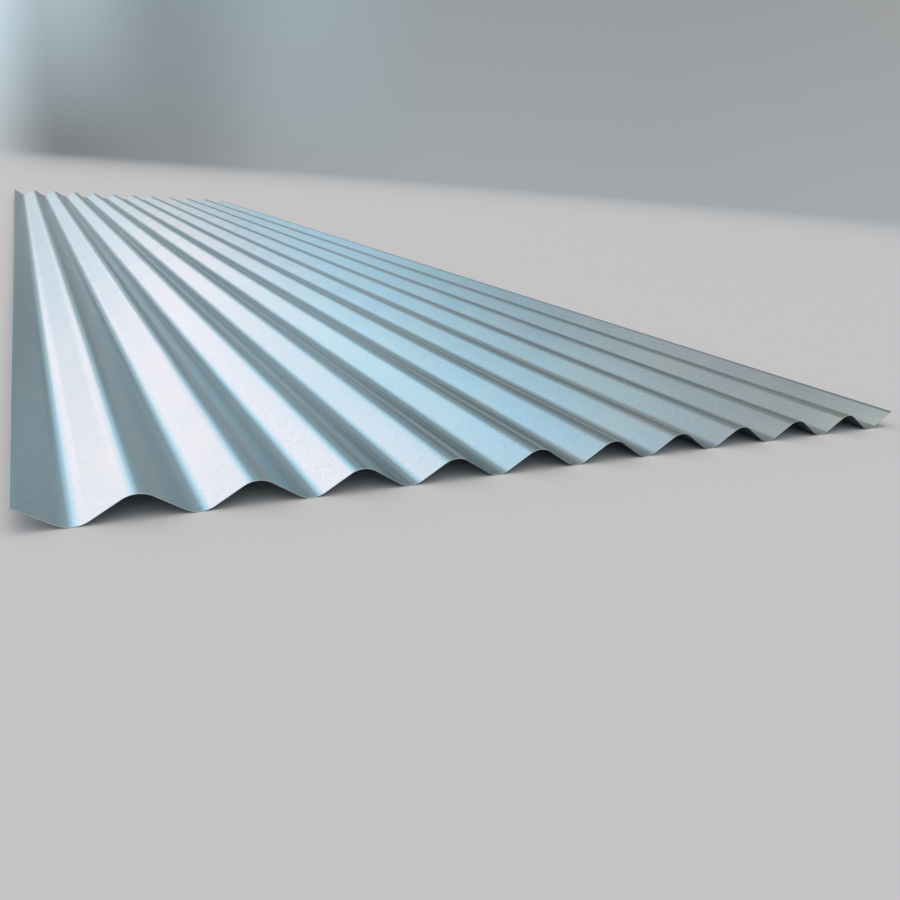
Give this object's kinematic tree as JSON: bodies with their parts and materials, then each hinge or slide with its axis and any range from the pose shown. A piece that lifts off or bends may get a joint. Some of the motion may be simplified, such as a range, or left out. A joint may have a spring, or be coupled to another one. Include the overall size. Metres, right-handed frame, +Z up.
{
  "type": "corrugated metal sheet",
  "caption": "Long galvanised steel sheet roll formed into even rounded corrugations, with both side edges turned up; lies flat on its valleys.",
  "frame": {"origin": "under the middle of the sheet, on the floor that its valleys rest on", "axes": "+X across the corrugations, +Y along them, +Z up"},
  "size_m": [0.8272, 3.3, 0.018],
  "materials": {
    "galvanised_steel": "hot-dip galvanised, minimised spangle, unpainted"
  },
  "bodies": {
    "root": {"corrugated_sheet": "galvanised_steel"}
  },
  "joints": []
}
